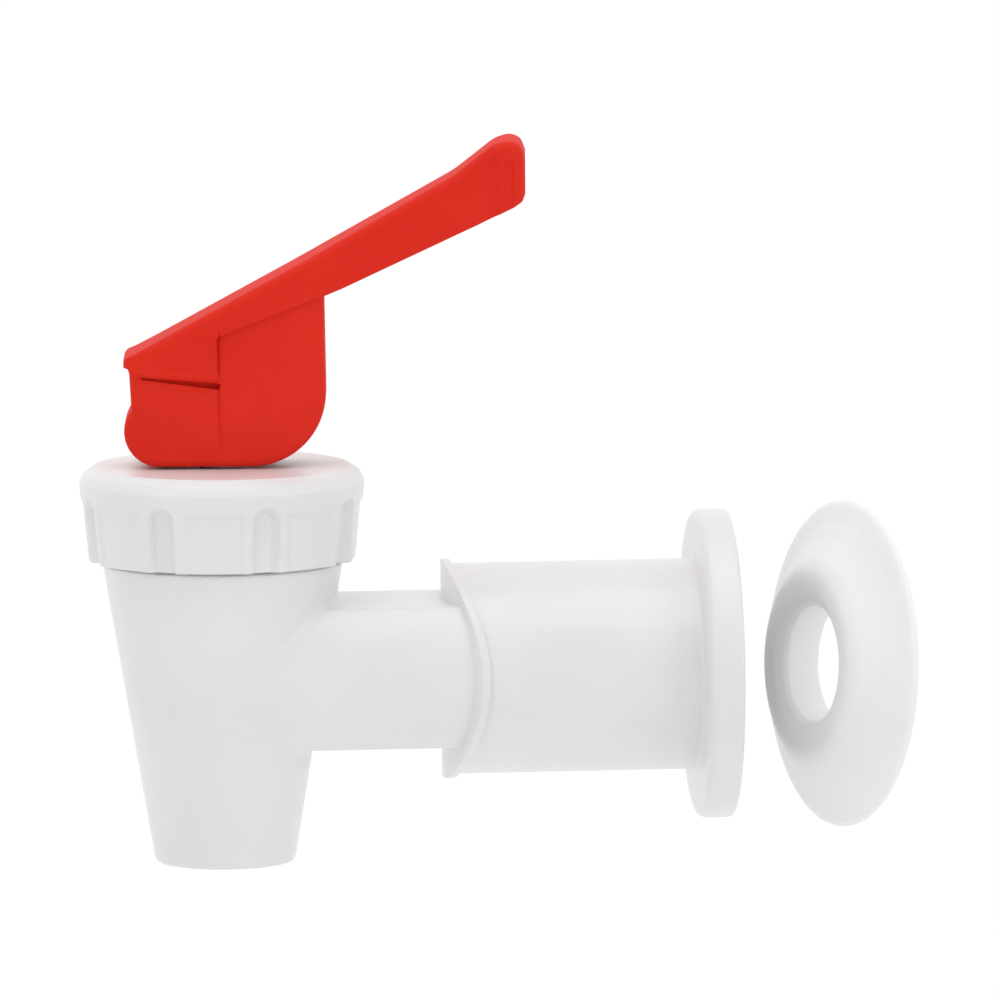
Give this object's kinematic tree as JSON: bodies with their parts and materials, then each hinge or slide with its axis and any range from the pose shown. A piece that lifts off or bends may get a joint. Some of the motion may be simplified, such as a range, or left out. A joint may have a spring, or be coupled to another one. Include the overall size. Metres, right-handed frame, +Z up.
{
  "type": "beverage dispenser spigot",
  "caption": "Lever tap for a drinks dispenser: cone-shaped spout, fluted bonnet, round barrel with a flange and threaded socket, and a loose domed sealing washer.",
  "frame": {"origin": "middle of the threaded socket's mouth, on the barrel's axis and in the plane of the flange's face", "axes": "+X out of the socket, towards the wall or urn that the tap is fixed to, +Z up, so the spout hangs at -X"},
  "size_m": [0.1112, 0.0419, 0.098],
  "materials": {
    "white_plastic": "satin moulded",
    "red_plastic": "satin moulded",
    "natural_nylon": "moulded",
    "white_silicone": "smooth, slightly translucent",
    "stainless_steel": "drawn wire"
  },
  "bodies": {
    "body": {"faucet_body": "white_plastic", "bonnet": "white_plastic", "slip_ring": "natural_nylon", "seat_cup": "white_silicone", "socket_washer": "white_silicone", "sealing_washer": "white_silicone"},
    "spring": {"return_spring": "stainless_steel"},
    "stem": {"valve_stem": "natural_nylon", "handle_pin": "stainless_steel"},
    "lever": {"lever_handle": "red_plastic"}
  },
  "joints": [
    {"name": "stem_turn", "type": "hinge", "parent": "body", "child": "spring", "pos_m": [-0.0686, 0, 0.0255], "axis": [0, 0, 1], "continuous": true},
    {"name": "stem_lift", "type": "slide", "parent": "spring", "child": "stem", "axis": [0, 0, 1], "range_m": [0, 0.00288], "stiffness_N_per_m": 400, "springref_m": -0.004, "deforming": ["return_spring", "seat_cup"]},
    {"name": "lever_tilt", "type": "hinge", "parent": "stem", "child": "lever", "pos_m": [-0.0686, 0, 0.0336], "axis": [0.0958, 0.9954, 0], "range_deg": [0, 30]}
  ],
  "couplings": [
    {"joint": "lever_tilt", "follows": "stem_lift", "rad_per_m": 181.8}
  ]
}
